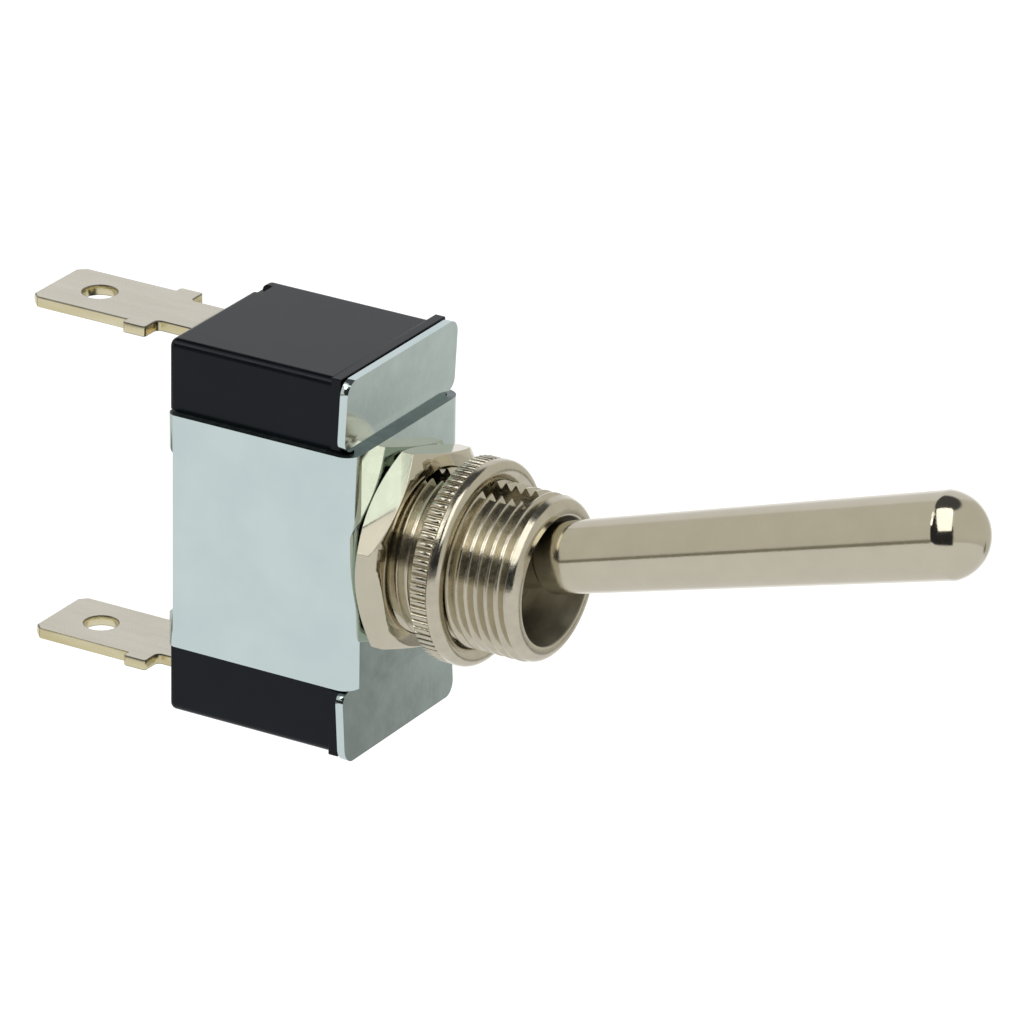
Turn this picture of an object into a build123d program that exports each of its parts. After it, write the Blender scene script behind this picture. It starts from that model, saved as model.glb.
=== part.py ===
from build123d import *
from math import cos, pi, radians, sin, sqrt, tan
import os

# Panel toggle switch with a bat lever, a threaded stem and two blade terminals.
# Millimetres. The origin lies on the stem's axis, in the bracket's front face, where a panel seats.
# +Z points out of the panel, +Y towards the end of the case that the lever is thrown to,
# and +X across the case.

# Case
HOUSING_WIDTH = 13.2
HOUSING_HEIGHT = 28.3
HOUSING_DEPTH = 13.45
HOUSING_SIDE_WALL = 1.3
HOUSING_END_WALL = 1.5
HOUSING_FLOOR = 1.6
HOUSING_EDGE_RADIUS = 0.6
HOUSING_BACK_RADIUS = 0.45
KEY_NOTCH_WIDTH = 1.5
KEY_NOTCH_DEPTH = 0.4
KEY_NOTCH_FROM_SIDE = 1.1

# Gasket between case and plate
GASKET_THICKNESS = 0.8
GASKET_LIP = 0.3
GASKET_RISE = 0.12
GASKET_ARM_CLEARANCE = 0.03

# Mounting plate
PLATE_THICKNESS = 0.6
PLATE_SIDE_OVERHANG = 0.65
PLATE_END_OVERHANG = 0.25
PLATE_CORNER_RADIUS = 1.1
PLATE_NOTCH_RADIUS = 0.9
PLATE_NOTCH_CLEARANCE = 0.25
PLATE_END_LEAN = 3.0

# U-shaped bracket
BRACKET_THICKNESS = 0.65
BRACKET_HEIGHT = 17.6
BRACKET_BEND_RADIUS = 1.2
TAB_HEIGHT = 2.4
TAB_STEP = 0.45
TAB_RECESS = 0.12
TAB_HOOK = 0.8
TAB_BEND_RADIUS = 0.85
TAB_CLEARANCE = 0.1

# Threaded stem
STEM_DIAMETER = 11.9
STEM_LENGTH = 12.15
STEM_LIP_LENGTH = 1.0
STEM_LIP_DIAMETER = 11.3
STEM_LIP_ROUND = 0.5
MOUTH_DIAMETER = 9.15
MOUTH_ROUND = 0.15
THROAT_DIAMETER = 6.6
THROAT_LAND = 0.3
SPIGOT_DIAMETER = 10.0
STAKE_LIP = 0.6
STAKE_CLEARANCE = 0.1
KEYWAY_WIDTH = 2.0
KEYWAY_DEPTH = 0.9
KEYWAY_END = 9.9
KEYWAY_RUNOUT = 1.3
RELIEF_DEPTH = 0.25
RELIEF_WIDTH = 1.1
RELIEF_COVER = 0.1

# Nuts
THREAD_CLEARANCE = 0.05
HEX_ACROSS_FLATS = 13.9
HEX_THICKNESS = 2.3
HEX_TURN = -16.0
HEX_CHAMFER_ANGLE = 30.0
HEX_FACE_STEP = 0.1
KNURL_FROM_SEAT = 4.6
KNURL_WALL = 1.375
KNURL_BAND = 1.4
KNURL_RIM = 0.9
KNURL_TEETH = 76
KNURL_TOOTH_DEPTH = 0.28
KNURL_RIM_ROUND = 0.35
KNURL_FACE_WIDTH = 0.8
KNURL_DISH_DEPTH = 0.3

# Lever
PIVOT_HEIGHT = 6.2
LEVER_THROW = 16.5
LEVER_REACH = 40.6
LEVER_TIP_DIAMETER = 6.16
LEVER_BASE_DIAMETER = 5.04
LEVER_BASE_HEIGHT = 5.5
LEVER_BASE_CHAMFER = 0.45
LEVER_NECK_DIAMETER = 4.0
BALL_DIAMETER = 7.4
BALL_CLEARANCE = 0.05
TAIL_DIAMETER = 3.8
TAIL_REACH = 11.5
TAIL_BORE_DIAMETER = 2.7
TAIL_BORE_TOP = 1.8
TAIL_SWING_CLEARANCE = 0.15
PIN_DIAMETER = 1.5
PIN_LENGTH = 9.0
PIN_CLEARANCE = 0.05

# Plunger and its spring
PLUNGER_CLEARANCE = 0.05
PLUNGER_GUIDED_LENGTH = 3.5
SPRING_WIRE_DIAMETER = 0.34
SPRING_COIL_DIAMETER = 2.1
SPRING_TURNS = 6
SPRING_WIRE_SIDES = 6
SPRING_END_GAP = 0.05

# See-saw contact and what it rocks on
ROCKER_TILT = 8.0
ROCKER_THICKNESS = 0.6
ROCKER_WIDTH = 4.0
SADDLE_GAP = 0.1
SADDLE_HALF_ANGLE = 30.0
SADDLE_HORN = 1.5
HORN_RUN = 1.25
HORN_BEND_RADIUS = 0.5
ARM_HEIGHT = 0.5
ARM_PAST_CONTACT = 1.5
CONTACT_FROM_CASE_END = 5.15
CONTACT_GAP = 0.03
CONTACT_DOME_RADIUS = 4.0
MOVING_CONTACT_DIAMETER = 2.5
MOVING_CONTACT_THICKNESS = 0.8
FIXED_CONTACT_DIAMETER = 3.2
FULCRUM_HEIGHT = 2.45
RIDGE_RADIUS = 0.5
RIDGE_GAP = 0.05
FULCRUM_BASE = 3.0
FULCRUM_LENGTH = 3.6
BUS_THICKNESS = 0.7
BUS_WIDTH = 4.0
BUS_PAST_RIVET = 2.1
BUS_PAST_FULCRUM = 0.6
GUIDE_CLEARANCE = 0.15
GUIDE_HEIGHT = 3.0
GUIDE_ABOVE_AXIS = 2.1

# Terminals and rivets
BLADE_WIDTH = 6.35
BLADE_THICKNESS = 0.8
BLADE_LENGTH = 8.25
BLADE_TIP_CHAMFER = 0.7
BLADE_TIP_BEVEL = 0.2
SHOULDER_OVERHANG = 0.625
SHOULDER_LENGTH = 1.9
SHOULDER_CORNER_RADIUS = 0.25
NECK_WIDTH = 4.4
NECK_FILLET = 0.4
TERMINAL_REACH = 13.95
TERMINAL_INSET = 0.96
TERMINAL_BEND_RADIUS = 1.2
TERMINAL_HOLE_DIAMETER = 2.5
TERMINAL_HOLE_FROM_TIP = 3.9
FOOT_PAST_RIVET = 2.2
RIVET_DIAMETER = 2.2
RIVET_HEAD_DIAMETER = 3.8
RIVET_HEAD_HEIGHT = 0.6
RIVET_DOME_DIAMETER = 3.2

# Levels along Z, from the seat backwards
plate_front = -BRACKET_THICKNESS
plate_back = plate_front - PLATE_THICKNESS
case_front = plate_back - GASKET_THICKNESS
case_back = case_front - HOUSING_DEPTH
floor_top = case_back + HOUSING_FLOOR
bus_top = floor_top + BUS_THICKNESS
foot_back = case_back - BLADE_THICKNESS
tab_back = case_back + TAB_RECESS
tab_front = tab_back + BRACKET_THICKNESS

# Sizes that follow from the ones above
case_side = HOUSING_WIDTH / 2
case_end = HOUSING_HEIGHT / 2
cavity_side = case_side - HOUSING_SIDE_WALL
cavity_end = case_end - HOUSING_END_WALL
arm_outside = case_side + BRACKET_THICKNESS
bracket_end = BRACKET_HEIGHT / 2
stem_radius = STEM_DIAMETER / 2
spigot_radius = SPIGOT_DIAMETER / 2
stake_radius = spigot_radius + STAKE_LIP
stem_back = plate_back - (GASKET_THICKNESS - STAKE_CLEARANCE)
ball_radius = BALL_DIAMETER / 2
seat_radius = ball_radius + BALL_CLEARANCE
tail_radius = TAIL_DIAMETER / 2
knurl_front = KNURL_FROM_SEAT + KNURL_BAND + KNURL_RIM
relief_front = knurl_front + RELIEF_COVER
plunger_radius = TAIL_BORE_DIAMETER / 2 - PLUNGER_CLEARANCE
plunger_top = TAIL_REACH - PLUNGER_GUIDED_LENGTH
terminal_tip = case_back - TERMINAL_REACH

# The rocker tilts about the fulcrum's ridge, and the plunger reaches down to just above its saddle
rocker_axis_z = bus_top + FULCRUM_HEIGHT
plunger_tip_z = rocker_axis_z + RIDGE_RADIUS + RIDGE_GAP + ROCKER_THICKNESS + SADDLE_GAP
tip_centre = PIVOT_HEIGHT - plunger_tip_z - plunger_radius
contact_offset = case_end - CONTACT_FROM_CASE_END


def into_rocker(y, z):
    """Turn a place at rest, measured from the rocker's axis, into the level rocker's own frame."""
    tilt = radians(ROCKER_TILT)
    return y * cos(tilt) + z * sin(tilt), z * cos(tilt) - y * sin(tilt)


def out_of_rocker(y, z):
    """Turn a place on the level rocker into the frame of the switch, with the rocker at rest."""
    tilt = radians(ROCKER_TILT)
    return y * cos(tilt) - z * sin(tilt), rocker_axis_z + y * sin(tilt) + z * cos(tilt)


# The saddle follows the path of the plunger's round tip, seen from the tilting rocker
throw = radians(LEVER_THROW)
middle_rise = PIVOT_HEIGHT - tip_centre - rocker_axis_z
end_y, end_rise = into_rocker(
    -tip_centre * sin(throw), PIVOT_HEIGHT - tip_centre * cos(throw) - rocker_axis_z
)
rise = end_rise - middle_rise
path_radius = (end_y**2 + rise**2) / (2 * rise)
saddle_radius = path_radius + plunger_radius + SADDLE_GAP
saddle_centre = middle_rise + path_radius
arm_underside = ARM_HEIGHT - ROCKER_THICKNESS / 2

# The buttons meet at rest, so the rivets stand where the moving button comes down
dome_in_rocker = arm_underside - MOVING_CONTACT_THICKNESS + CONTACT_DOME_RADIUS
contact_y, dome_centre_z = out_of_rocker(-contact_offset, dome_in_rocker)
fixed_contact_top = dome_centre_z - CONTACT_DOME_RADIUS - CONTACT_GAP
rivet_y = -contact_y

# Thrown the other way, the free arm comes down on the dome of the upper rivet
arm_over_rivet = (
    rocker_axis_z
    + arm_underside / cos(radians(ROCKER_TILT))
    - rivet_y * tan(radians(ROCKER_TILT))
)
rest_dome_centre = arm_over_rivet - (CONTACT_DOME_RADIUS + CONTACT_GAP) / cos(radians(ROCKER_TILT))


def block(width, height, low_z, high_z):
    """A centred box between two levels."""
    return Pos(0, 0, (low_z + high_z) / 2) * Box(width, height, high_z - low_z)


def disc(radius, low_z, high_z):
    """A round slab on the stem's axis between two levels."""
    return Pos(0, 0, (low_z + high_z) / 2) * Cylinder(radius, high_z - low_z)


def turned(*points):
    """A solid turned about the Z axis from an outline of (radius, height) points."""
    return revolve(Plane.XZ * make_face(Polyline(*points, close=True)), Axis.Z)


def stepped_round(radius, top, size):
    """Points that take a turned piece's top corner off in two steps, near enough to a round."""
    step = size * (1 - cos(pi / 4))
    return (radius, top - size), (radius - step, top - step), (radius - size, top)


def side_profile(sketch, width):
    """A profile drawn in Y and Z, given its width along X."""
    return extrude(Plane.YZ * sketch, width / 2, both=True)


def end_profile(sketch, height):
    """A profile drawn in X and Z, given its height along Y."""
    return extrude(Plane.XZ * sketch, height / 2, both=True)


def thrown(solid):
    """A piece of the upright lever, thrown to its place at rest."""
    return Pos(0, 0, PIVOT_HEIGHT) * Rot(X=-LEVER_THROW) * solid


def on_rocker(solid):
    """A piece of the level rocker, tilted to its place at rest."""
    return Pos(0, 0, rocker_axis_z) * Rot(X=ROCKER_TILT) * solid


def side_ledges():
    """The ledges along the case's back edges that the bracket's tabs are crimped over."""
    reach = TAB_HOOK + TAB_CLEARANCE
    height = BRACKET_HEIGHT + 2 * TAB_CLEARANCE
    depth = tab_back + TAB_BEND_RADIUS - case_back
    return [Pos(x, 0, case_back) * Box(2 * reach, height, 2 * depth) for x in (-case_side, case_side)]


def make_housing():
    shell = block(HOUSING_WIDTH, HOUSING_HEIGHT, case_back, case_front)
    shell = fillet(shell.edges().filter_by(Axis.Z), HOUSING_EDGE_RADIUS)
    shell = fillet(shell.faces().sort_by(Axis.Z)[0].edges(), HOUSING_BACK_RADIUS)
    shell -= block(2 * cavity_side, 2 * cavity_end, floor_top, case_front)
    for ledge in side_ledges():
        shell -= ledge
    for y in (contact_y, rivet_y):
        shell -= Pos(0, y, 0) * disc(RIVET_DIAMETER / 2, case_back, floor_top)
    notch_x = case_side - KEY_NOTCH_FROM_SIDE - KEY_NOTCH_WIDTH / 2
    notch = Box(KEY_NOTCH_WIDTH, 2 * KEY_NOTCH_DEPTH, 2 * (KEY_NOTCH_DEPTH + HOUSING_BACK_RADIUS))
    shell -= Pos(notch_x, case_end, case_back) * notch
    guide_inside = ROCKER_WIDTH / 2 + GUIDE_CLEARANCE
    guide_width = cavity_side - guide_inside
    guide = block(guide_width, GUIDE_HEIGHT, floor_top, rocker_axis_z + GUIDE_ABOVE_AXIS)
    for side in (-1, 1):
        shell += Pos(side * (guide_inside + guide_width / 2), 0, 0) * guide
    return shell


def make_gasket():
    sheet = block(
        HOUSING_WIDTH + 2 * GASKET_LIP, HOUSING_HEIGHT + 2 * GASKET_LIP, case_front, plate_back
    )
    sheet = Pos(0, GASKET_RISE, 0) * sheet
    window = block(2 * cavity_side, 2 * cavity_end, case_front, plate_back)
    window += disc(stake_radius + STAKE_CLEARANCE, case_front, plate_back)
    arm_way = block(
        2 * GASKET_LIP, BRACKET_HEIGHT + 2 * PLATE_NOTCH_CLEARANCE, case_front, plate_back
    )
    for side in (-1, 1):
        place = case_side + GASKET_LIP - GASKET_ARM_CLEARANCE
        sheet -= Pos(side * place, 0, 0) * arm_way
    return sheet - window


def make_mounting_plate():
    middle = (plate_front + plate_back) / 2
    flat_end = bracket_end + PLATE_NOTCH_CLEARANCE + PLATE_NOTCH_RADIUS
    end = case_end + PLATE_END_OVERHANG
    lift = (end - flat_end) * tan(radians(PLATE_END_LEAN))
    bend_line = Polyline(
        (-end, middle + lift), (-flat_end, middle), (flat_end, middle), (end, middle + lift)
    )
    leaned = side_profile(trace(bend_line, PLATE_THICKNESS), HOUSING_WIDTH + 2 * PLATE_SIDE_OVERHANG)
    outline = Rectangle(HOUSING_WIDTH + 2 * PLATE_SIDE_OVERHANG, 2 * end)
    outline = fillet(outline.vertices(), PLATE_CORNER_RADIUS)
    notch_side = arm_outside - BRACKET_BEND_RADIUS - GASKET_ARM_CLEARANCE
    notch_end = bracket_end + PLATE_NOTCH_CLEARANCE
    notch_width = 2 * (case_side + PLATE_SIDE_OVERHANG - notch_side)
    for side in (-1, 1):
        outline -= Pos(side * (notch_side + notch_width / 2), 0) * Rectangle(notch_width, 2 * notch_end)
    plate_side = case_side + PLATE_SIDE_OVERHANG
    corners = [
        v
        for v in outline.vertices()
        if abs(abs(v.X) - plate_side) < PLATE_THICKNESS / 10
        and abs(abs(v.Y) - notch_end) < PLATE_THICKNESS / 10
    ]
    outline = fillet(corners, PLATE_NOTCH_RADIUS)
    outline -= Circle(spigot_radius)
    punched = extrude(outline, 2 * BRACKET_BEND_RADIUS + lift, both=True)
    return leaned & punched


def make_bracket():
    half = BRACKET_THICKNESS / 2
    arm = case_side + half
    hook = case_side - TAB_HOOK
    tab_middle = tab_back + half
    web_bend = BRACKET_BEND_RADIUS - half
    tab_bend = TAB_BEND_RADIUS - half
    strap_line = FilletPolyline(
        (-arm, tab_front), (-arm, -half), (arm, -half), (arm, tab_front), radius=web_bend
    )
    strap = end_profile(trace(strap_line, BRACKET_THICKNESS), BRACKET_HEIGHT)
    bent_end = tab_front + TAB_BEND_RADIUS
    for side in (-1, 1):
        tab_line = FilletPolyline(
            (side * hook, tab_middle), (side * arm, tab_middle), (side * arm, bent_end), radius=tab_bend
        )
        strap += end_profile(trace(tab_line, BRACKET_THICKNESS), BRACKET_HEIGHT) & tab_rows()
    return strap - disc(spigot_radius, -BRACKET_THICKNESS, 0)


def tab_rows():
    """The ends of the strap left standing as tabs, and the slope on each arm's edge beside them."""
    inner_tab_end = bracket_end - TAB_HEIGHT
    bent_end = tab_front + TAB_BEND_RADIUS
    step_end = inner_tab_end - TAB_STEP
    tab = make_face(
        Polyline(
            (inner_tab_end, tab_back),
            (bracket_end, tab_back),
            (bracket_end, bent_end),
            (inner_tab_end, bent_end),
            close=True,
        )
    )
    slope = make_face(
        Polyline(
            (inner_tab_end, tab_back),
            (inner_tab_end, tab_front),
            (step_end, tab_front),
            close=True,
        )
    )
    inside_arms = block(HOUSING_WIDTH, BRACKET_HEIGHT, tab_back, tab_front)
    upper = side_profile(tab, 2 * arm_outside)
    upper += side_profile(slope, 2 * arm_outside) - inside_arms
    return upper + mirror(upper, Plane.XZ)


def make_stem_bushing():
    lip_radius = STEM_LIP_DIAMETER / 2
    throat_radius = THROAT_DIAMETER / 2
    throat = PIVOT_HEIGHT + sqrt(seat_radius**2 - throat_radius**2)
    lip_back = STEM_LENGTH - STEM_LIP_LENGTH
    relief_radius = stem_radius - RELIEF_DEPTH
    relief_back = relief_front - RELIEF_WIDTH
    bushing = turned(
        (0, stem_back),
        (stake_radius, stem_back),
        (stake_radius, plate_back),
        (spigot_radius, plate_back),
        (spigot_radius, 0),
        (stem_radius, 0),
        (stem_radius, relief_back),
        (relief_radius, relief_back),
        (relief_radius, relief_front),
        (stem_radius, relief_front),
        (stem_radius, lip_back - (stem_radius - lip_radius)),
        (lip_radius, lip_back),
        *stepped_round(lip_radius, STEM_LENGTH, STEM_LIP_ROUND),
        (0, STEM_LENGTH),
    )
    mouth = turned(
        (0, throat),
        (throat_radius, throat),
        (throat_radius, throat + THROAT_LAND),
        (MOUTH_DIAMETER / 2, STEM_LENGTH),
        (MOUTH_DIAMETER / 2 + MOUTH_ROUND, STEM_LENGTH + MOUTH_ROUND),
        (0, STEM_LENGTH + MOUTH_ROUND),
    )
    bushing -= mouth
    bushing -= Pos(0, 0, PIVOT_HEIGHT) * Sphere(seat_radius)
    bushing -= disc(seat_radius, stem_back, PIVOT_HEIGHT)
    bushing -= tail_way()
    bushing -= pin_slots()
    bushing -= keyway()
    return bushing


def tail_way():
    """The room that the lever's tail swings through at the back of the bushing."""

    def half_way(z):
        swing = (PIVOT_HEIGHT - z) * tan(throw)
        return swing + tail_radius / cos(throw) + TAIL_SWING_CLEARANCE

    outline = make_face(
        Polyline(
            (-half_way(PIVOT_HEIGHT), PIVOT_HEIGHT),
            (half_way(PIVOT_HEIGHT), PIVOT_HEIGHT),
            (half_way(stem_back), stem_back),
            (-half_way(stem_back), stem_back),
            close=True,
        )
    )
    return side_profile(outline, TAIL_DIAMETER + 2 * TAIL_SWING_CLEARANCE)


def pin_slots():
    """The two slots that the ends of the pivot pin drop into from the back."""
    length = PIN_LENGTH + 2 * PIN_CLEARANCE
    width = PIN_DIAMETER + 2 * PIN_CLEARANCE
    round_end = Pos(0, 0, PIVOT_HEIGHT) * Rot(Y=90) * Cylinder(width / 2, length)
    return block(length, width, stem_back, PIVOT_HEIGHT) + round_end


def keyway():
    """The flat-bottomed slot along the thread, which runs out before the front lip."""
    floor = stem_radius - KEYWAY_DEPTH
    above = stem_radius + KEYWAY_DEPTH
    outline = make_face(
        Polyline(
            (floor, 0),
            (floor, KEYWAY_END),
            (above, KEYWAY_END + 2 * KEYWAY_RUNOUT),
            (above, 0),
            close=True,
        )
    )
    return side_profile(outline, KEYWAY_WIDTH)


def make_hex_nut():
    corner_radius = HEX_ACROSS_FLATS / 2 / cos(pi / 6)
    face_radius = HEX_ACROSS_FLATS / 2 - HEX_FACE_STEP
    drop = (corner_radius - face_radius) * tan(radians(HEX_CHAMFER_ANGLE))
    prism = extrude(RegularPolygon(corner_radius, 6, rotation=HEX_TURN), HEX_THICKNESS)
    chamfered = turned(
        (0, 0),
        (face_radius, 0),
        (corner_radius, drop),
        (corner_radius, HEX_THICKNESS - drop),
        (face_radius, HEX_THICKNESS),
        (0, HEX_THICKNESS),
    )
    return (prism & chamfered) - disc(stem_radius + THREAD_CLEARANCE, 0, HEX_THICKNESS)


def make_knurled_nut():
    bore = stem_radius + THREAD_CLEARANCE
    outer = bore + KNURL_WALL
    inner = outer - KNURL_TOOTH_DEPTH
    band_front = KNURL_FROM_SEAT + KNURL_BAND
    step = pi / KNURL_TEETH
    teeth = [
        ((outer if i % 2 else inner) * cos(i * step), (outer if i % 2 else inner) * sin(i * step))
        for i in range(2 * KNURL_TEETH)
    ]
    band = extrude(make_face(Polyline(*teeth, close=True)), KNURL_BAND)
    rim = turned(
        (0, band_front),
        (outer, band_front),
        *stepped_round(outer, knurl_front, KNURL_RIM_ROUND),
        (outer - KNURL_FACE_WIDTH, knurl_front),
        (bore, knurl_front - KNURL_DISH_DEPTH),
        (0, knurl_front - KNURL_DISH_DEPTH),
    )
    nut = Pos(0, 0, KNURL_FROM_SEAT) * band + rim
    return nut - disc(bore, KNURL_FROM_SEAT, knurl_front)


def make_lever():
    tip_radius = LEVER_TIP_DIAMETER / 2
    base_radius = LEVER_BASE_DIAMETER / 2
    neck_radius = LEVER_NECK_DIAMETER / 2
    bat = turned(
        (0, 0),
        (neck_radius, 0),
        (neck_radius, LEVER_BASE_HEIGHT - (base_radius - neck_radius - LEVER_BASE_CHAMFER)),
        (base_radius - LEVER_BASE_CHAMFER, LEVER_BASE_HEIGHT),
        (base_radius, LEVER_BASE_HEIGHT + LEVER_BASE_CHAMFER),
        (tip_radius, LEVER_REACH - tip_radius),
        (0, LEVER_REACH - tip_radius),
    )
    bat += Pos(0, 0, LEVER_REACH - tip_radius) * Sphere(tip_radius)
    bat += Sphere(ball_radius)
    bat += disc(tail_radius, -TAIL_REACH, 0)
    bat -= disc(TAIL_BORE_DIAMETER / 2, -TAIL_REACH, -TAIL_BORE_TOP)
    bat -= Rot(Y=90) * Cylinder(PIN_DIAMETER / 2, BALL_DIAMETER)
    return thrown(bat)


def make_pivot_pin():
    return thrown(Rot(Y=90) * Cylinder(PIN_DIAMETER / 2, PIN_LENGTH))


def make_plunger():
    pin = disc(plunger_radius, -tip_centre, -plunger_top)
    return thrown(pin + Pos(0, 0, -tip_centre) * Sphere(plunger_radius))


def make_plunger_spring():
    wire_radius = SPRING_WIRE_DIAMETER / 2
    low = -plunger_top + SPRING_END_GAP + wire_radius
    high = -TAIL_BORE_TOP - SPRING_END_GAP - wire_radius
    coil = Helix((high - low) / SPRING_TURNS, high - low, SPRING_COIL_DIAMETER / 2)
    section = Plane(coil @ 0, z_dir=coil % 0) * RegularPolygon(wire_radius, SPRING_WIRE_SIDES)
    return thrown(Pos(0, 0, low) * sweep(section, coil))


def rocker_line():
    """The middle of the rocker's strip: the dished saddle, and on each side a horn and an arm."""
    radius = saddle_radius + ROCKER_THICKNESS / 2
    angle = radians(SADDLE_HALF_ANGLE)
    foot = (radius * sin(angle), saddle_centre - radius * cos(angle))
    horn = (foot[0] + SADDLE_HORN * cos(angle), foot[1] + SADDLE_HORN * sin(angle))
    heel = (horn[0] + HORN_RUN, ARM_HEIGHT)
    tip = (contact_offset + ARM_PAST_CONTACT, ARM_HEIGHT)
    saddle = ThreePointArc((-foot[0], foot[1]), (0, saddle_centre - radius), foot)
    right = FilletPolyline(foot, horn, heel, tip, radius=HORN_BEND_RADIUS)
    left = FilletPolyline(
        *[(-y, z) for y, z in (foot, horn, heel, tip)], radius=HORN_BEND_RADIUS
    )
    return saddle, right, left


def make_rocker_contact():
    strips = [trace(line, ROCKER_THICKNESS) for line in rocker_line()]
    profile = strips[0] + strips[1] + strips[2]
    return on_rocker(side_profile(profile, ROCKER_WIDTH))


def make_moving_contact():
    underside = arm_underside - MOVING_CONTACT_THICKNESS
    button = disc(MOVING_CONTACT_DIAMETER / 2, underside, arm_underside)
    button &= Pos(0, 0, dome_in_rocker) * Sphere(CONTACT_DOME_RADIUS)
    return on_rocker(Pos(0, -contact_offset, 0) * button)


def make_fixed_contact():
    head_top = floor_top + RIVET_HEAD_HEIGHT
    return Pos(0, contact_y, 0) * disc(FIXED_CONTACT_DIAMETER / 2, head_top, fixed_contact_top)


def make_fulcrum():
    half = FULCRUM_BASE / 2
    ridge = Pos(0, rocker_axis_z) * Circle(RIDGE_RADIUS)
    ridge += make_face(
        Polyline(
            (-half, bus_top),
            (half, bus_top),
            (RIDGE_RADIUS, rocker_axis_z),
            (-RIDGE_RADIUS, rocker_axis_z),
            close=True,
        )
    )
    return side_profile(ridge, FULCRUM_LENGTH)


def make_common_bus():
    far_end = rivet_y + BUS_PAST_RIVET
    near_end = -FULCRUM_BASE / 2 - BUS_PAST_FULCRUM
    strip = block(BUS_WIDTH, far_end - near_end, floor_top, bus_top)
    strip = Pos(0, (far_end + near_end) / 2, 0) * strip
    return strip - Pos(0, rivet_y, 0) * disc(RIVET_DIAMETER / 2, floor_top, bus_top)


def make_terminal(side):
    """A blade with shoulders, a neck bent over the case's back and a foot under the rivet."""
    face_y = case_end - TERMINAL_INSET
    middle_y = face_y - BLADE_THICKNESS / 2
    foot_end = rivet_y - FOOT_PAST_RIVET
    shoulder_back = terminal_tip + BLADE_LENGTH
    shoulder_front = shoulder_back + SHOULDER_LENGTH
    neck_path = FilletPolyline(
        (foot_end, case_back - BLADE_THICKNESS / 2),
        (middle_y, case_back - BLADE_THICKNESS / 2),
        (middle_y, shoulder_front),
        radius=TERMINAL_BEND_RADIUS - BLADE_THICKNESS / 2,
    )
    neck = side_profile(trace(neck_path, BLADE_THICKNESS), NECK_WIDTH)
    half = BLADE_WIDTH / 2
    shoulder = half + SHOULDER_OVERHANG
    right = [
        (half - BLADE_TIP_CHAMFER, terminal_tip),
        (half, terminal_tip + BLADE_TIP_CHAMFER),
        (half, shoulder_back),
        (shoulder, shoulder_back),
        (shoulder, shoulder_front),
        (NECK_WIDTH / 2, shoulder_front),
        (NECK_WIDTH / 2, shoulder_front + SHOULDER_LENGTH / 2),
    ]
    left = [(-x, z) for x, z in reversed(right)]
    outline = make_face(Polyline(*right, *left, close=True))
    outline = round_corners(outline, shoulder, shoulder_front, SHOULDER_CORNER_RADIUS)
    outline = round_corners(outline, shoulder, shoulder_back, SHOULDER_CORNER_RADIUS)
    outline = round_corners(outline, NECK_WIDTH / 2, shoulder_front, NECK_FILLET)
    outline -= Pos(0, terminal_tip + TERMINAL_HOLE_FROM_TIP) * Circle(TERMINAL_HOLE_DIAMETER / 2)
    blade = extrude(Plane.XZ.offset(-face_y) * outline, BLADE_THICKNESS)
    tip_edges = blade.edges().filter_by(Axis.X).sort_by(Axis.Z)[:2]
    blade = chamfer(tip_edges, BLADE_TIP_BEVEL)
    terminal = neck + blade
    terminal -= Pos(0, rivet_y, 0) * disc(RIVET_DIAMETER / 2, foot_back, case_back)
    return terminal if side > 0 else mirror(terminal, Plane.XZ)


def round_corners(outline, x, z, radius):
    """Round the two corners of a blade's outline that lie at this half-width and level."""
    near = radius / 10
    corners = [v for v in outline.vertices() if abs(abs(v.X) - x) < near and abs(v.Y - z) < near]
    return fillet(corners, radius)


def rivet_outside(y):
    """The shank through foot and floor, and the domed head on the foot's back."""
    shank = disc(RIVET_DIAMETER / 2, foot_back, floor_top)
    head = disc(RIVET_HEAD_DIAMETER / 2, foot_back - RIVET_HEAD_HEIGHT, foot_back)
    head_edge = head.edges().filter_by(GeomType.CIRCLE).sort_by(Axis.Z)[0]
    head = chamfer(head_edge, RIVET_HEAD_HEIGHT / 2)
    return Pos(0, y, 0) * (shank + head)


def make_upper_rivet():
    dome_top = rest_dome_centre + CONTACT_DOME_RADIUS
    head = disc(RIVET_DOME_DIAMETER / 2, bus_top, dome_top)
    head &= Pos(0, 0, rest_dome_centre) * Sphere(CONTACT_DOME_RADIUS)
    shank = disc(RIVET_DIAMETER / 2, floor_top, bus_top)
    return rivet_outside(rivet_y) + Pos(0, rivet_y, 0) * (head + shank)


def make_lower_rivet():
    head = disc(RIVET_HEAD_DIAMETER / 2, floor_top, floor_top + RIVET_HEAD_HEIGHT)
    return rivet_outside(contact_y) + Pos(0, contact_y, 0) * head


PIECES = {
    "housing": make_housing,
    "front_gasket": make_gasket,
    "mounting_plate": make_mounting_plate,
    "bracket": make_bracket,
    "stem_bushing": make_stem_bushing,
    "hex_nut": make_hex_nut,
    "knurled_nut": make_knurled_nut,
    "lever": make_lever,
    "pivot_pin": make_pivot_pin,
    "plunger": make_plunger,
    "plunger_spring": make_plunger_spring,
    "rocker_contact": make_rocker_contact,
    "moving_contact": make_moving_contact,
    "fixed_contact": make_fixed_contact,
    "fulcrum": make_fulcrum,
    "common_bus": make_common_bus,
    "upper_terminal": lambda: make_terminal(1),
    "lower_terminal": lambda: make_terminal(-1),
    "upper_rivet": make_upper_rivet,
    "lower_rivet": make_lower_rivet,
}

os.makedirs("parts", exist_ok=True)
for name, make in PIECES.items():
    export_step(make(), f"parts/{name}.step")
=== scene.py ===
from math import cos, pi, radians, sin, tan

import bpy
from mathutils import Matrix, Vector


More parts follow.
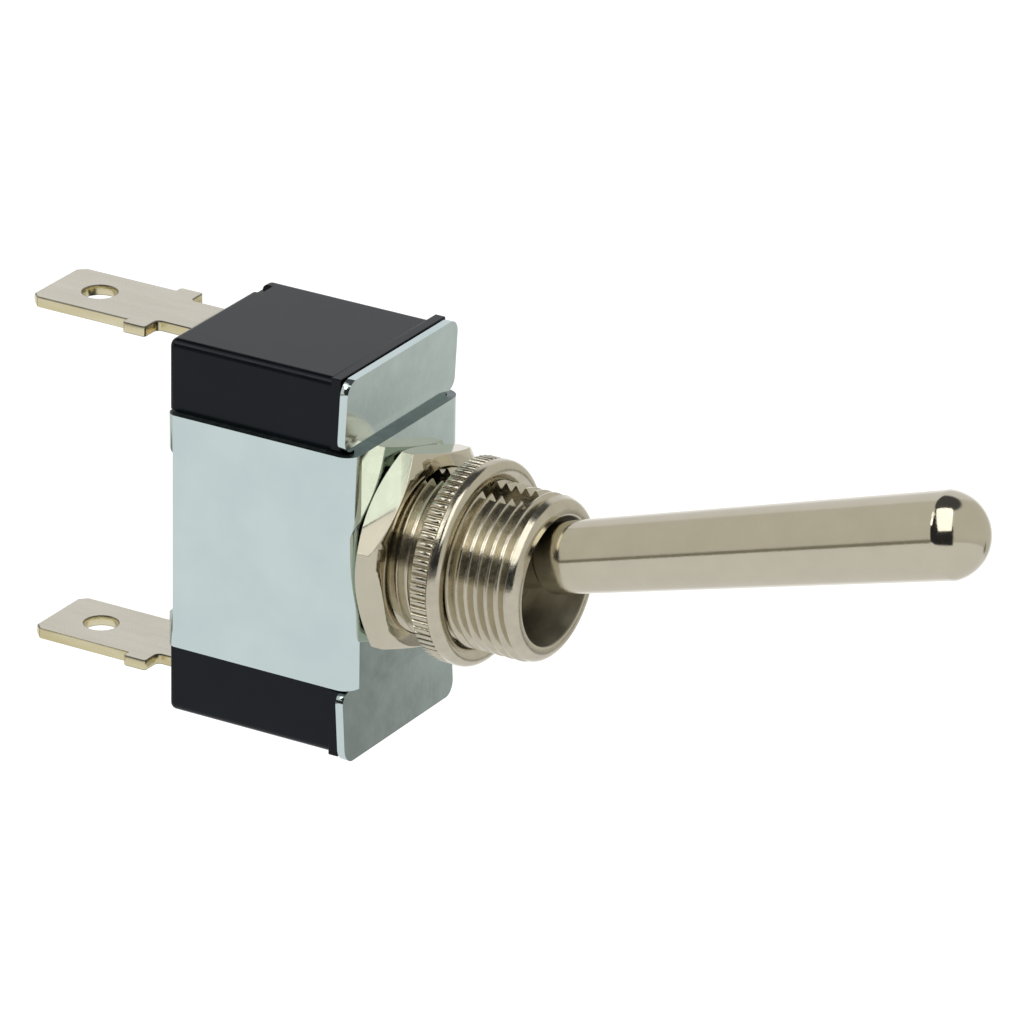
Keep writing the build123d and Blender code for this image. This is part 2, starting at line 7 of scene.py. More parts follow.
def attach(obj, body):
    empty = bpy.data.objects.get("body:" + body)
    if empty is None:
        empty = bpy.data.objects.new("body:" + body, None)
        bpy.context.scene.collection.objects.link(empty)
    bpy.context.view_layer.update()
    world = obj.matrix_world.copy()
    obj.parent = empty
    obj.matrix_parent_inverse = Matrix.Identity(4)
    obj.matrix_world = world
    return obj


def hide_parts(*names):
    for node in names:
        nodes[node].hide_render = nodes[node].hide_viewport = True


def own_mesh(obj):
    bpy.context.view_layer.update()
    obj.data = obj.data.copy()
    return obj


# Panel toggle switch, dressed around its solids. Sizes are in millimetres, times MM for metres.
MM = 0.001
WELD = 0.001 * MM

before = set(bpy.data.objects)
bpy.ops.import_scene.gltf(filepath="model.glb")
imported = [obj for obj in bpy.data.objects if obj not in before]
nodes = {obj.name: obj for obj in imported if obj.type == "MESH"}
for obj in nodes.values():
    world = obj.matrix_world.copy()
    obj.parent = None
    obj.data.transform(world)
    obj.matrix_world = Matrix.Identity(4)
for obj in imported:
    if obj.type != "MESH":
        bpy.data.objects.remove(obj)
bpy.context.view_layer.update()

# Sizes shared with the solids
PIVOT_Z = 6.2
LEVER_TILT = radians(16.5)
LEVER_TIP = 40.59
STEM_RADIUS = 5.95
STEM_LENGTH = 12.15
SPIGOT_RADIUS = 5.0
KEYWAY_WIDTH = 2.0
KEYWAY_DEPTH = 0.9
NUT_BORE = 6.0
KNURL_FROM_SEAT = 4.6
KNURL_RADIUS = 7.375
KNURL_BAND = 1.4
KNURL_RIM = 0.9
KNURL_TEETH = 76
KNURL_TOOTH = 0.28

# Sizes of what the scene alone has
THREAD_PITCH = 0.794
THREAD_DEPTH = 0.47
THREAD_TURNS = 14
THREAD_END = 11.55
THREAD_FADE = 6.0
KNURL_TOOTH_WIDTH = 0.52

# Fineness of the turned pieces, and the angle in degrees at which an edge counts as sharp
TURN_STEPS = 128
SHARP_ANGLE = 30.0
TURNED_SHARP_ANGLE = 35.0
SMALL_PART_SHARP_ANGLE = 50.0
FLAT_ANGLE = 0.5
FLAT_WEIGHT = 100

# The photograph's camera
CAMERA_PLACE = Vector((-462.90, 238.78, 282.03)) * MM
CAMERA_AIM = Vector((4.202, 2.333, 5.804)) * MM
CAMERA_UP = Vector((0.3369, 0.9157, -0.2189))
CAMERA_LENS = 300.26
CAMERA_NEAR = 0.01
CAMERA_FAR = 20
SENSOR = 36.0

# The floor, and how far away the lamps stand in metres
FLOOR_DROP = 120.0
FLOOR_LIFT = 0.5
FLOOR_SIZE = 6000.0
FLOOR_TONE = (0.85, 0.85, 0.85)
FLOOR_ROUGHNESS = 0.9
LAMP_DISTANCE = 0.8

# The stage's tones, as shares of white
WALL = (0.66, 0.655, 0.61)
WALL_FOOT = (0.60, 0.595, 0.56)
TABLE = (0.80, 0.80, 0.81)
TABLE_SHADE = (0.24, 0.24, 0.22)
TABLE_LINE = (0.25, 0.24, 0.20)
HIGH_BACK = (0.80, 0.80, 0.82)
DARK = (0.025, 0.025, 0.027)
DARK_CEILING = (0.075, 0.075, 0.08)
PLAIN_LIGHT = (0.7, 0.7, 0.7)
BACKDROP = (1.0, 1.0, 1.0)

# Where the stage's tones meet: from and to how far a direction points along an axis
TABLE_EDGE = -0.28
WALL_RISE = (TABLE_EDGE, TABLE_EDGE + 0.25)
TABLE_BACK = (TABLE_EDGE - 0.012, TABLE_EDGE + 0.012)
SHADE_BAND = (0.7125, 0.7225)
SHADE_HEIGHT = (-0.36, -0.30)
SHADE_DEPTH = (0.42, 0.48)
LINE_FOOT = (0.13, 0.19)
LINE_TOP = (TABLE_EDGE - 0.02, TABLE_EDGE)
LINE_LEFT = (0.3, 0.5)
HIGH_BACK_RIM = (0.86, 0.91)
DARK_SIDE_RIM = (-0.03, 0.03)
DARK_FOOT_RIM = (-0.04, 0.04)
CEILING_RIM = (0.85, 0.91)
BACKDROP_RIM = (0.84, 0.90)

# How far the dark side of the room is turned, from the camera's side
DARK_LEFT = radians(61)
DARK_RIGHT = radians(16)
DARK_FOOT = radians(25)

# The part of a noise that is spread between two tones
NOISE_LOW = 0.3
NOISE_HIGH = 0.7


def deselect():
    """Leave the editor and clear the selection."""
    if bpy.context.object and bpy.context.object.mode != "OBJECT":
        bpy.ops.object.mode_set(mode="OBJECT")
    bpy.ops.object.select_all(action="DESELECT")


def pick(obj):
    """Make this the one selected and active object."""
    deselect()
    obj.select_set(True)
    bpy.context.view_layer.objects.active = obj


def edit(obj):
    """Open this object in the editor with all of it selected."""
    pick(obj)
    bpy.ops.object.mode_set(mode="EDIT")
    bpy.ops.mesh.select_mode(type="VERT")
    bpy.ops.mesh.select_all(action="SELECT")


def select_corners(obj, chosen):
    """Open this object in the editor with only the corners selected whose place is chosen."""
    edit(obj)
    bpy.ops.mesh.select_all(action="DESELECT")
    bpy.ops.object.mode_set(mode="OBJECT")
    for corner in obj.data.vertices:
        corner.select = chosen(corner.co)
    bpy.ops.object.mode_set(mode="EDIT")


def settle(obj):
    """Apply an object's place, turn and scale to its mesh."""
    pick(obj)
    bpy.ops.object.transform_apply(location=True, rotation=True, scale=True)
    return obj


def apply_modifiers(obj):
    """Work an object's modifiers into its mesh."""
    pick(obj)
    for modifier in list(obj.modifiers):
        bpy.ops.object.modifier_apply(modifier=modifier.name)
    return obj


def smooth(obj, angle=SHARP_ANGLE):
    """Shade smoothly across shallow edges, and keep the large flats flat."""
    pick(obj)
    bpy.ops.object.shade_smooth_by_angle(angle=radians(angle))
    weighted = obj.modifiers.new("weighted", "WEIGHTED_NORMAL")
    weighted.keep_sharp = True
    weighted.weight = FLAT_WEIGHT
    return apply_modifiers(obj)


def cut(obj, tool):
    """Cut one solid with another, which is used up."""
    modifier = obj.modifiers.new("cut", "BOOLEAN")
    modifier.operation = "DIFFERENCE"
    modifier.solver = "EXACT"
    modifier.object = tool
    apply_modifiers(obj)
    bpy.data.objects.remove(tool)


def soften(obj, width, segments):
    """Break an object's sharp edges with a small round."""
    bevel = obj.modifiers.new("soften", "BEVEL")
    bevel.width = width * MM
    bevel.segments = segments
    bevel.limit_method = "ANGLE"
    bevel.angle_limit = radians(SHARP_ANGLE)
    bevel.harden_normals = False
    apply_modifiers(obj)


def outline(name, points):
    """Draw a closed outline of (radius, height) points in the XZ plane, corner by corner."""
    deselect()
    radius, height = points[0]
    bpy.ops.mesh.primitive_plane_add(size=MM, location=(radius * MM, 0, height * MM))
    obj = bpy.context.object
    obj.name = name
    settle(obj)
    edit(obj)
    bpy.ops.mesh.merge(type="COLLAPSE")
    for next_radius, next_height in points[1:] + points[:1]:
        step = ((next_radius - radius) * MM, 0, (next_height - height) * MM)
        bpy.ops.mesh.extrude_vertices_move(TRANSFORM_OT_translate={"value": step})
        radius, height = next_radius, next_height
    bpy.ops.mesh.select_all(action="SELECT")
    bpy.ops.mesh.remove_doubles(threshold=WELD)
    return obj


def turned(name, points):
    """Spin an outline of (radius, height) points about Z into a solid."""
    obj = outline(name, points)
    bpy.ops.mesh.spin(steps=TURN_STEPS, angle=2 * pi, center=(0, 0, 0), axis=(0, 0, 1))
    bpy.ops.mesh.select_all(action="SELECT")
    bpy.ops.mesh.remove_doubles(threshold=WELD)
    bpy.ops.mesh.normals_make_consistent(inside=False)
    bpy.ops.object.mode_set(mode="OBJECT")
    return obj


def arc(centre, radius, start, end, count):
    """Points along an arc in an outline, angles in degrees from the radius towards the height."""
    angles = [radians(start + (end - start) * i / count) for i in range(count + 1)]
    return [(centre[0] + radius * cos(a), centre[1] + radius * sin(a)) for a in angles]


def block(name, low, high):
    """A box from its lowest to its highest corner."""
    deselect()
    middle = [(a + b) / 2 * MM for a, b in zip(low, high)]
    bpy.ops.mesh.primitive_cube_add(size=MM, location=middle)
    obj = bpy.context.object
    obj.name = name
    bpy.ops.transform.resize(value=[b - a for a, b in zip(low, high)])
    return settle(obj)


def copy_solid(node, name):
    """A copy of a solid's mesh, open in the editor with its doubled corners welded."""
    pick(nodes[node])
    bpy.ops.object.duplicate()
    obj = bpy.context.object
    obj.name = name
    edit(obj)
    bpy.ops.mesh.remove_doubles(threshold=WELD)
    return obj


def dressed_copy(node, name, width, segments=2):
    """A copy of a solid's mesh, merged into whole faces, with its sharp edges softened."""
    obj = copy_solid(node, name)
    bpy.ops.mesh.dissolve_limited(angle_limit=radians(FLAT_ANGLE))
    bpy.ops.object.mode_set(mode="OBJECT")
    soften(obj, width, segments)
    return smooth(obj)


def finish_faces(obj, *finishes):
    """Give faces a finish of their own, each set chosen by the faces' centre and normal."""
    obj.data.materials.clear()
    obj.data.materials.append(None)
    for index, (material, chosen) in enumerate(finishes, start=1):
        obj.data.materials.append(material)
        for face in obj.data.polygons:
            if chosen(face.center, face.normal):
                face.material_index = index


def dress(obj, node, body, material):
    """Put a finished piece in the place of its solid, on its body and in its finish."""
    if len(obj.data.materials) > 1:
        obj.data.materials[0] = material
    else:
        obj.data.materials.clear()
        obj.data.materials.append(material)
    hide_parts(node)
    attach(obj, body)
    return obj


# Finishes

def new_material(name):
    """A material with nodes, and its node tree."""
    material = bpy.data.materials.new(name)
    material.use_nodes = True
    return material, material.node_tree


def shader_of(material):
    """The shader that a new material starts with."""
    return material.node_tree.nodes["Principled BSDF"]


def noise(tree, scale, detail, stretch=(1, 1, 1)):
    """Noise laid on the object's own coordinates, stretched along its axes."""
    place = tree.nodes.new("ShaderNodeTexCoord")
    mapping = tree.nodes.new("ShaderNodeMapping")
    mapping.inputs["Scale"].default_value = stretch
    texture = tree.nodes.new("ShaderNodeTexNoise")
    texture.inputs["Scale"].default_value = scale
    texture.inputs["Detail"].default_value = detail
    tree.links.new(place.outputs["Object"], mapping.inputs["Vector"])
    tree.links.new(mapping.outputs["Vector"], texture.inputs["Vector"])
    return texture.outputs["Fac"]


def ramp(tree, value, low, high):
    """Spread a value between two colours."""
    node = tree.nodes.new("ShaderNodeValToRGB")
    node.color_ramp.elements[0].position = NOISE_LOW
    node.color_ramp.elements[1].position = NOISE_HIGH
    node.color_ramp.elements[0].color = (*low, 1)
    node.color_ramp.elements[1].color = (*high, 1)
    tree.links.new(value, node.inputs["Fac"])
    return node.outputs["Color"]


def spread(tree, value, low, high):
    """Spread a value between two numbers."""
    node = tree.nodes.new("ShaderNodeMapRange")
    node.inputs["From Min"].default_value = NOISE_LOW
    node.inputs["From Max"].default_value = NOISE_HIGH
    node.inputs["To Min"].default_value = low
    node.inputs["To Max"].default_value = high
    tree.links.new(value, node.inputs["Value"])
    return node.outputs["Result"]


def bump(tree, value, height):
    """Raise the surface by a value, up to a height in millimetres."""
    node = tree.nodes.new("ShaderNodeBump")
    node.inputs["Distance"].default_value = height * MM
    tree.links.new(value, node.inputs["Height"])
    tree.links.new(node.outputs["Normal"], tree.nodes["Principled BSDF"].inputs["Normal"])


def metal(name, dull, bright, rough, grain, stretch=(1, 1, 1), relief=0.002):
    """A plated metal: cloudy tone, uneven polish and a fine relief."""
    cloud_detail = 3.0
    polish_fineness = 3
    polish_detail = 4.0
    relief_fineness = 10
    material, tree = new_material(name)
    shader = shader_of(material)
    shader.inputs["Metallic"].default_value = 1.0
    clouds = noise(tree, grain, cloud_detail, stretch)
    tree.links.new(ramp(tree, clouds, dull, bright), shader.inputs["Base Color"])
    polish = noise(tree, grain * polish_fineness, polish_detail, stretch)
    tree.links.new(spread(tree, polish, *rough), shader.inputs["Roughness"])
    bump(tree, noise(tree, grain * relief_fineness, cloud_detail, stretch), relief)
    return material


def plastic(name, dark, light, roughness, grain, relief):
    """A moulded plastic with a fine, even skin."""
    cloud_detail = 3.0
    polish_fineness = 2
    relief_fineness = 12
    relief_detail = 2.0
    unevenness = 0.03
    material, tree = new_material(name)
    shader = shader_of(material)
    clouds = noise(tree, grain, cloud_detail)
    tree.links.new(ramp(tree, clouds, dark, light), shader.inputs["Base Color"])
    polish = noise(tree, grain * polish_fineness, cloud_detail)
    polish = spread(tree, polish, roughness - unevenness, roughness + unevenness)
    tree.links.new(polish, shader.inputs["Roughness"])
    bump(tree, noise(tree, grain * relief_fineness, relief_detail), relief)
    return material


nickel = metal(
    "bright_nickel",
    dull=(0.60, 0.555, 0.44),
    bright=(0.63, 0.585, 0.465),
    rough=(0.09, 0.13),
    grain=500,
)
thread_nickel = metal(
    "thread_nickel",
    dull=(0.56, 0.515, 0.41),
    bright=(0.63, 0.585, 0.465),
    rough=(0.13, 0.24),
    grain=900,
    relief=0.004,
)
# The bore's nickel: rougher as machined, and darker as painted shade inside the bore
bore_nickel_painted_shade = metal(
    "bore_nickel_painted_shade",
    dull=(0.25, 0.235, 0.19),
    bright=(0.33, 0.31, 0.25),
    rough=(0.32, 0.42),
    grain=300,
    stretch=(1, 1, 4),
)
zinc = metal(
    "zinc_plate",
    dull=(0.63, 0.745, 0.735),
    bright=(0.68, 0.79, 0.78),
    rough=(0.07, 0.11),
    grain=250,
    relief=0.0006,
)
sheared_zinc = metal(
    "sheared_zinc",
    dull=(0.15, 0.185, 0.19),
    bright=(0.24, 0.28, 0.28),
    rough=(0.3, 0.42),
    grain=500,
)
tin = metal(
    "tinned_brass",
    dull=(0.72, 0.68, 0.565),
    bright=(0.76, 0.72, 0.605),
    rough=(0.24, 0.30),
    grain=500,
    stretch=(1, 1, 0.2),
    relief=0.0007,
)
sheared_brass = metal(
    "sheared_brass",
    dull=(0.66, 0.58, 0.33),
    bright=(0.84, 0.78, 0.55),
    rough=(0.2, 0.3),
    grain=500,
    stretch=(1, 1, 0.3),
)
# The blades' rounded rims: rougher, and darkened as a painted dark reflection along the edges
rim_painted_dark_reflection = metal(
    "rim_painted_dark_reflection",
    dull=(0.22, 0.20, 0.15),
    bright=(0.42, 0.39, 0.31),
    rough=(0.3, 0.4),
    grain=500,
    stretch=(1, 1, 0.3),
)
brass = metal(
    "bare_brass", dull=(0.62, 0.47, 0.22), bright=(0.74, 0.58, 0.30), rough=(0.2, 0.3), grain=400
)
silver = metal(
    "contact_silver", dull=(0.70, 0.69, 0.66), bright=(0.82, 0.81, 0.78), rough=(0.2, 0.3), grain=400
)
spring_steel = metal(
    "spring_steel", dull=(0.30, 0.30, 0.31), bright=(0.42, 0.42, 0.43), rough=(0.2, 0.3), grain=400
)
black = plastic(
    "black_moulding",
    dark=(0.0012, 0.0018, 0.0024),
    light=(0.0025, 0.0035, 0.0045),
    roughness=0.22,
    grain=300,
    relief=0.0015,
)
black_sheet = plastic(
    "black_sheet",
    dark=(0.001, 0.0013, 0.0018),
    light=(0.002, 0.0026, 0.0034),
    roughness=0.22,
    grain=400,
    relief=0.002,
)
acetal = plastic(
    "natural_acetal",
    dark=(0.62, 0.60, 0.55),
    light=(0.72, 0.70, 0.65),
    roughness=0.4,
    grain=300,
    relief=0.002,
)

# The two black plastics shine weakly and a little blue
BLACK_IOR = 1.33
BLACK_SHINE = (0.79, 0.87, 1.0)
for shell in (black, black_sheet):
    shader_of(shell).inputs["IOR"].default_value = BLACK_IOR
    shader_of(shell).inputs["Specular Tint"].default_value = (*BLACK_SHINE, 1)


# Pieces

def make_thread_groove():
    """The groove between the threads, as one long coil that fades out towards the front."""
    past_crest = 0.1
    half_mouth = 0.34
    half_root = 0.05
    fade_lift = THREAD_DEPTH * 1.3
    crest = STEM_RADIUS + past_crest
    root = STEM_RADIUS - THREAD_DEPTH
    section = [
        (crest, -half_mouth),
        (STEM_RADIUS, -half_mouth),
        (root, -half_root),
        (root, half_root),
        (STEM_RADIUS, half_mouth),
        (crest, half_mouth),
    ]
    low = THREAD_END - THREAD_TURNS * THREAD_PITCH
    coil = outline("thread_groove", [(r, z + low) for r, z in section])
    bpy.ops.object.mode_set(mode="OBJECT")
    screw = coil.modifiers.new("coil", "SCREW")
    screw.screw_offset = THREAD_PITCH * MM
    screw.iterations = THREAD_TURNS
    screw.steps = TURN_STEPS
    screw.render_steps = TURN_STEPS
    screw.use_merge_vertices = False
    apply_modifiers(coil)
    edit(coil)
    bpy.ops.mesh.select_all(action="DESELECT")
    bpy.ops.mesh.select_non_manifold()
    bpy.ops.mesh.fill()
    bpy.ops.mesh.select_all(action="SELECT")
    bpy.ops.mesh.normals_make_consistent(inside=False)

    # The coil's front end is drawn out of the stem, and the turns before it follow
    front = (THREAD_END - half_mouth) * MM - WELD
    select_corners(coil, lambda place: place.z > front and abs(place.y) < WELD and place.x > 0)
    bpy.ops.transform.translate(
        value=(fade_lift * MM, 0, 0),
        use_proportional_edit=True,
        use_proportional_connected=True,
        proportional_edit_falloff="SMOOTH",
        proportional_size=THREAD_FADE * MM,
    )
    bpy.ops.object.mode_set(mode="OBJECT")
    return coil


def make_stem():
    """The threaded bushing: a turned blank with its bore and mouth, its keyway and its thread."""
    back = -1.95
    plate_back = -1.25
    flange_radius = 5.6
    chamfer = 0.2
    seat = 3.75
    seat_top_angle = 28.36
    throat = 3.3
    throat_land = 0.3
    throat_z = PIVOT_Z + (seat**2 - throat**2) ** 0.5
    lip_round = 0.75
    lip_middle = 5.1
    lip_foot = 5.88
    lip_z = STEM_LENGTH - lip_round
    mouth_round = 0.2
    mouth_radius = 4.8
    shaded_bore_radius = 4.7 * MM
    blank = turned(
        "threaded_stem",
        [
            (seat, back),
            (flange_radius, back),
            (flange_radius, plate_back),
            (SPIGOT_RADIUS, plate_back),
            (SPIGOT_RADIUS, 0.0),
            (STEM_RADIUS - chamfer, 0.0),
            (STEM_RADIUS, chamfer),
            (STEM_RADIUS, lip_z - chamfer),
            (lip_foot, lip_z),
            *arc((lip_middle, lip_z), lip_round, 10, 90, 8),
            *arc((mouth_radius, STEM_LENGTH - mouth_round), mouth_round, 90, 160, 4),
            (throat, throat_z + throat_land),
            *arc((0, PIVOT_Z), seat, seat_top_angle, 0, 8),
        ],
    )
    half_key = KEYWAY_WIDTH / 2
    key_floor = STEM_RADIUS - KEYWAY_DEPTH
    key_outside = 7.0
    key_back = -0.1
    key_front = 10.3
    cut(blank, block("key", (-half_key, key_floor, key_back), (half_key, key_outside, key_front)))
    cut(blank, make_thread_groove())
    smooth(blank, TURNED_SHARP_ANGLE)
    # The faces inside the bore and mouth take the darker nickel, painted shade there
    finish_faces(blank, (bore_nickel_painted_shade, lambda centre, normal: centre.xy.length < shaded_bore_radius))
    return blank


def make_gasket():
    """The insulating sheet, its lip pressed back a little at both ends of the case."""
    lip_inside = 14.2 * MM
    lip_outside = 15.0 * MM
    top_trim = -0.18 * MM
    bottom_trim = 0.25 * MM
    sheet = dressed_copy("front_gasket", "gasket", 0.08, 3)
    select_corners(sheet, lambda place: lip_inside < place.y < lip_outside)
    bpy.ops.transform.translate(value=(0, top_trim, 0))
    select_corners(sheet, lambda place: -lip_outside < place.y < -lip_inside)
    bpy.ops.transform.translate(value=(0, bottom_trim, 0))
    bpy.ops.object.mode_set(mode="OBJECT")
    return sheet


def make_strap():
    """The bracket, its thin sheared edges duller than its plated faces."""
    facing = 0.9
    strap = dressed_copy("bracket", "bracket_strap", 0.05)
    finish_faces(strap, (sheared_zinc, lambda centre, normal: abs(normal.y) > facing))
    return strap


def make_blade(node, name):
    """A terminal, plated on its faces, rougher with a painted dark reflection along its rounded rims,
    and bare at its sheared edges.
    """
    edge_on = 0.3
    face_on = 0.95
    neck_end = -16 * MM
    blade = dressed_copy(node, name, 0.1)
    finish_faces(
        blade,
        (sheared_brass, lambda centre, normal: abs(normal.y) < edge_on),
        # painted dark reflection on the rounded rims past the neck
        (rim_painted_dark_reflection, lambda centre, normal: edge_on < abs(normal.y) < face_on and centre.z < neck_end),
    )
    return blade


def make_lever():
    """The bat: a tapered rod with a round end, a chamfered foot, a ball and a bored tail."""
    bore_radius = 1.35
    bore_top = -1.8
    tail_end = -11.5
    tail_radius = 1.9
    tail_chamfer = 0.1
    tail_top = -3.175
    ball_radius = 3.7
    ball_low_angle = -59
    ball_high_angle = 56.5
    neck_radius = 2.0
    neck_top = 5.4
    foot_inner_radius = 2.07
    foot_low = 5.5
    foot_radius = 2.52
    foot_high = 5.95
    dome_radius = 3.12
    dome_low_angle = 11
    dome_centre = LEVER_TIP - dome_radius
    lever = turned(
        "bat_lever",
        [
            (bore_radius, tail_end),
            (tail_radius - tail_chamfer, tail_end),
            (tail_radius, tail_end + tail_chamfer),
            (tail_radius, tail_top),
            *arc((0, 0), ball_radius, ball_low_angle, ball_high_angle, 24),
            (neck_radius, neck_top),
            (foot_inner_radius, foot_low),
            (foot_radius, foot_high),
            *arc((0, dome_centre), dome_radius, dome_low_angle, 90, 14),
            (0, bore_top),
            (bore_radius, bore_top),
        ],
    )
    lever.location = (0, 0, PIVOT_Z * MM)
    lever.rotation_euler = (-LEVER_TILT, 0, 0)
    settle(lever)
    return smooth(lever)


def make_spring():
    """The coil behind the plunger, as the solid has it but smoothly shaded."""
    coil = copy_solid("plunger_spring", "coil_spring")
    bpy.ops.object.mode_set(mode="OBJECT")
    bpy.ops.object.shade_smooth_by_angle(angle=radians(SMALL_PART_SHARP_ANGLE))
    return coil


def make_knurl(low, root):
    """The straight knurl: one tooth with its outer edges rounded, repeated round the nut."""
    sunk = 0.1
    clear = 0.02
    outside = (KNURL_RADIUS - 0.03) * MM
    half_tooth = KNURL_TOOTH_WIDTH / 2
    tooth_round = KNURL_TOOTH_WIDTH * 0.48
    round_segments = 5
    tooth = block(
        "knurl",
        (root - sunk, -half_tooth, low + clear),
        (KNURL_RADIUS - clear, half_tooth, low + KNURL_BAND + clear),
    )
    select_corners(tooth, lambda place: place.x > outside)
    bpy.ops.mesh.select_mode(type="EDGE")
    bpy.ops.mesh.bevel(offset=tooth_round * MM, segments=round_segments, affect="EDGES")
    bpy.ops.mesh.select_all(action="SELECT")
    bpy.ops.mesh.spin(
        steps=KNURL_TEETH, angle=2 * pi, center=(0, 0, 0), axis=(0, 0, 1), dupli=True
    )
    bpy.ops.mesh.select_all(action="SELECT")
    bpy.ops.mesh.remove_doubles(threshold=WELD)
    bpy.ops.mesh.normals_make_consistent(inside=False)
    bpy.ops.object.mode_set(mode="OBJECT")
    pick(tooth)
    bpy.ops.object.shade_smooth_by_angle(angle=radians(SMALL_PART_SHARP_ANGLE))
    return tooth


def make_face_nut():
    """The round nut: a turned body with a smooth rim and a dished face, and its knurl."""
    low = KNURL_FROM_SEAT
    rim_low = low + KNURL_BAND
    front = rim_low + KNURL_RIM
    root = KNURL_RADIUS - KNURL_TOOTH
    bore_chamfer = 0.15
    back_chamfer = 0.1
    rim_chamfer = 0.08
    rim_round = 0.55
    face_width = 0.8
    dish_depth = 0.3
    body = turned(
        "round_nut",
        [
            (NUT_BORE, low + bore_chamfer),
            (NUT_BORE + bore_chamfer, low),
            (root - back_chamfer, low),
            (root, low + back_chamfer),
            (root, rim_low),
            (KNURL_RADIUS - rim_chamfer, rim_low),
            (KNURL_RADIUS, rim_low + rim_chamfer),
            *arc((KNURL_RADIUS - rim_round, front - rim_round), rim_round, 0, 90, 8),
            (KNURL_RADIUS - face_width, front),
            (NUT_BORE, front - dish_depth),
        ],
    )
    smooth(body, TURNED_SHARP_ANGLE)
    knurl = make_knurl(low, root)
    deselect()
    knurl.select_set(True)
    body.select_set(True)
    bpy.context.view_layer.objects.active = body
    bpy.ops.object.join()
    return body


# Stage

def camera_axes():
    """The directions to the camera's right, up its picture and from the object towards it."""
    toward = (CAMERA_PLACE - CAMERA_AIM).normalized()
    right = CAMERA_UP.cross(toward).normalized()
    return right, toward.cross(right), toward


def make_floor():
    """A plain pale floor well below the object, a little lifted where it is seen."""
    deselect()
    bpy.ops.mesh.primitive_plane_add(size=FLOOR_SIZE * MM, location=(0, 0, -FLOOR_DROP * MM))
    floor = settle(bpy.context.object)
    floor.name = "floor"
    material, tree = new_material("pale_floor")
    shader = shader_of(material)
    shader.inputs["Base Color"].default_value = (*FLOOR_TONE, 1)
    shader.inputs["Roughness"].default_value = FLOOR_ROUGHNESS
    shader.inputs["Emission Color"].default_value = (1, 1, 1, 1)
    path = tree.nodes.new("ShaderNodeLightPath")
    seen = path.outputs["Is Camera Ray"]
    for kind in ("Is Glossy Ray", "Is Transmission Ray"):
        most = tree.nodes.new("ShaderNodeMath")
        most.operation = "MAXIMUM"
        tree.links.new(seen, most.inputs[0])
        tree.links.new(path.outputs[kind], most.inputs[1])
        seen = most.outputs["Value"]
    lift = tree.nodes.new("ShaderNodeMath")
    lift.operation = "MULTIPLY"
    lift.inputs[1].default_value = FLOOR_LIFT
    tree.links.new(seen, lift.inputs[0])
    tree.links.new(lift.outputs["Value"], shader.inputs["Emission Strength"])
    floor.data.materials.append(material)
    floor.visible_glossy = False
    floor.visible_shadow = False
    floor.visible_diffuse = False


def make_camera():
    """The camera, at the photograph's place and angle."""
    camera = bpy.data.cameras.new("camera")
    camera.lens = CAMERA_LENS
    camera.sensor_width = SENSOR
    camera.clip_start = CAMERA_NEAR
    camera.clip_end = CAMERA_FAR
    camera_object = bpy.data.objects.new("camera", camera)
    bpy.context.scene.collection.objects.link(camera_object)
    turn = Matrix(camera_axes()).transposed()
    camera_object.matrix_world = Matrix.Translation(CAMERA_PLACE) @ turn.to_4x4()
    bpy.context.scene.camera = camera_object


def make_lamp(name, azimuth, elevation, width, height, level):
    """A soft box facing the object. Direction and spread are in degrees from the camera's side."""
    right, up, toward = camera_axes()
    around = radians(azimuth)
    rise = radians(elevation)
    away = (right * sin(around) + toward * cos(around)) * cos(rise) + up * sin(rise)
    lamp = bpy.data.lights.new(name, "AREA")
    lamp.shape = "RECTANGLE"
    lamp.size = 2 * LAMP_DISTANCE * tan(radians(width / 2))
    lamp.size_y = 2 * LAMP_DISTANCE * tan(radians(height / 2))
    lamp.energy = level * pi * lamp.size * lamp.size_y
    holder = bpy.data.objects.new(name, lamp)
    bpy.context.scene.collection.objects.link(holder)
    across = up.cross(away).normalized()
    turn = Matrix((across, away.cross(across), away)).transposed()
    holder.matrix_world = Matrix.Translation(away * LAMP_DISTANCE) @ turn.to_4x4()
    holder.visible_camera = False


